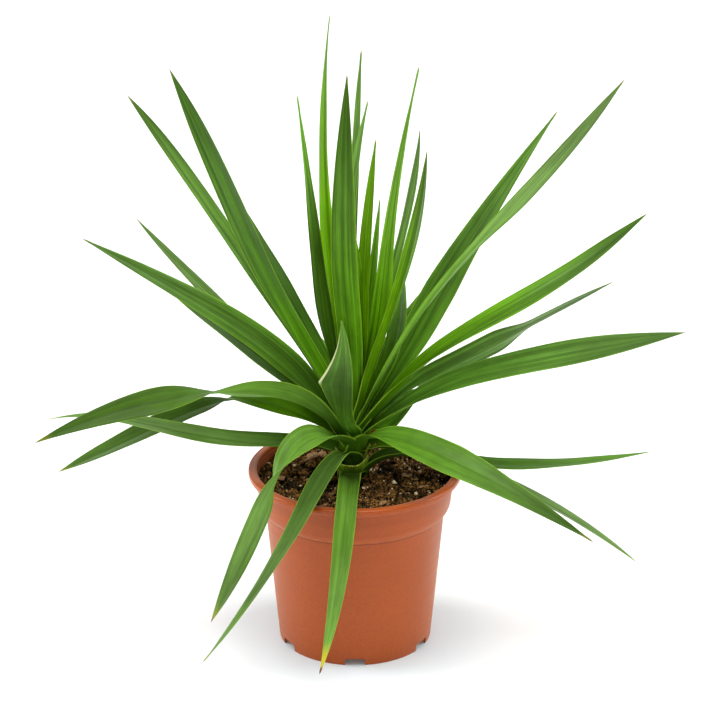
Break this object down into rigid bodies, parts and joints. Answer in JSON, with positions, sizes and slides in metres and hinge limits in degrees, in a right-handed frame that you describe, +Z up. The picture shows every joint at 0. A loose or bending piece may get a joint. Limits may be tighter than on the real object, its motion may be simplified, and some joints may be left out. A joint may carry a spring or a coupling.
{
  "type": "potted dragon tree",
  "caption": "Young dragon tree: a dense rosette of long strap leaves on a short green stem, planted in soil in a round plastic nursery pot with a rolled rim and a notched foot.",
  "frame": {"origin": "on the floor the pot stands on, on the pot's axis", "axes": "+Z up along the pot's axis; -Y is the front, where one old leaf droops down over the pot; +X is the plant's right seen from the front"},
  "size_m": [0.5524, 0.5219, 0.573],
  "materials": {
    "terracotta_plastic": "satin moulded plastic, faint turned grain",
    "potting_soil": "matt, moist and lumpy, with white perlite grains",
    "green_stem": "satin, ringed with old leaf scars",
    "crown_leaf": "satin young leaf, fine long veins",
    "upper_leaf": "satin leaf, fine long veins and pale margins",
    "middle_leaf": "satin leaf, fine long veins and pale margins",
    "lower_leaf": "satin leaf, fine long veins and pale margins",
    "drooping_leaf": "satin leaf, pale midrib, tips turning yellow and brown",
    "rear_leaf": "satin leaf, fine long veins"
  },
  "bodies": {
    "root": {"pot": "terracotta_plastic", "soil": "potting_soil", "stem": "green_stem", "crown_leaf_01": "crown_leaf", "crown_leaf_02": "crown_leaf", "crown_leaf_03": "crown_leaf", "crown_leaf_04": "crown_leaf", "crown_leaf_05": "crown_leaf", "crown_leaf_06": "crown_leaf", "crown_leaf_07": "crown_leaf", "crown_leaf_08": "crown_leaf", "crown_leaf_09": "crown_leaf", "crown_leaf_10": "crown_leaf", "crown_leaf_11": "crown_leaf", "crown_leaf_12": "crown_leaf", "upper_leaf_01": "upper_leaf", "upper_leaf_02": "upper_leaf", "upper_leaf_03": "upper_leaf", "upper_leaf_04": "upper_leaf", "upper_leaf_05": "upper_leaf", "upper_leaf_06": "upper_leaf", "middle_leaf_01": "middle_leaf", "middle_leaf_02": "middle_leaf", "middle_leaf_03": "middle_leaf", "middle_leaf_04": "middle_leaf", "middle_leaf_05": "middle_leaf", "middle_leaf_06": "middle_leaf", "lower_leaf_01": "lower_leaf", "lower_leaf_02": "lower_leaf", "lower_leaf_03": "lower_leaf", "lower_leaf_04": "lower_leaf", "lower_leaf_05": "lower_leaf", "lower_leaf_06": "lower_leaf", "drooping_leaf_01": "drooping_leaf", "drooping_leaf_02": "drooping_leaf", "drooping_leaf_03": "drooping_leaf", "rear_leaf_01": "rear_leaf", "rear_leaf_02": "rear_leaf", "rear_leaf_03": "rear_leaf", "rear_leaf_04": "rear_leaf", "rear_leaf_05": "rear_leaf", "rear_leaf_06": "rear_leaf", "rear_leaf_07": "rear_leaf", "rear_leaf_08": "rear_leaf", "rear_leaf_09": "rear_leaf"}
  },
  "joints": []
}
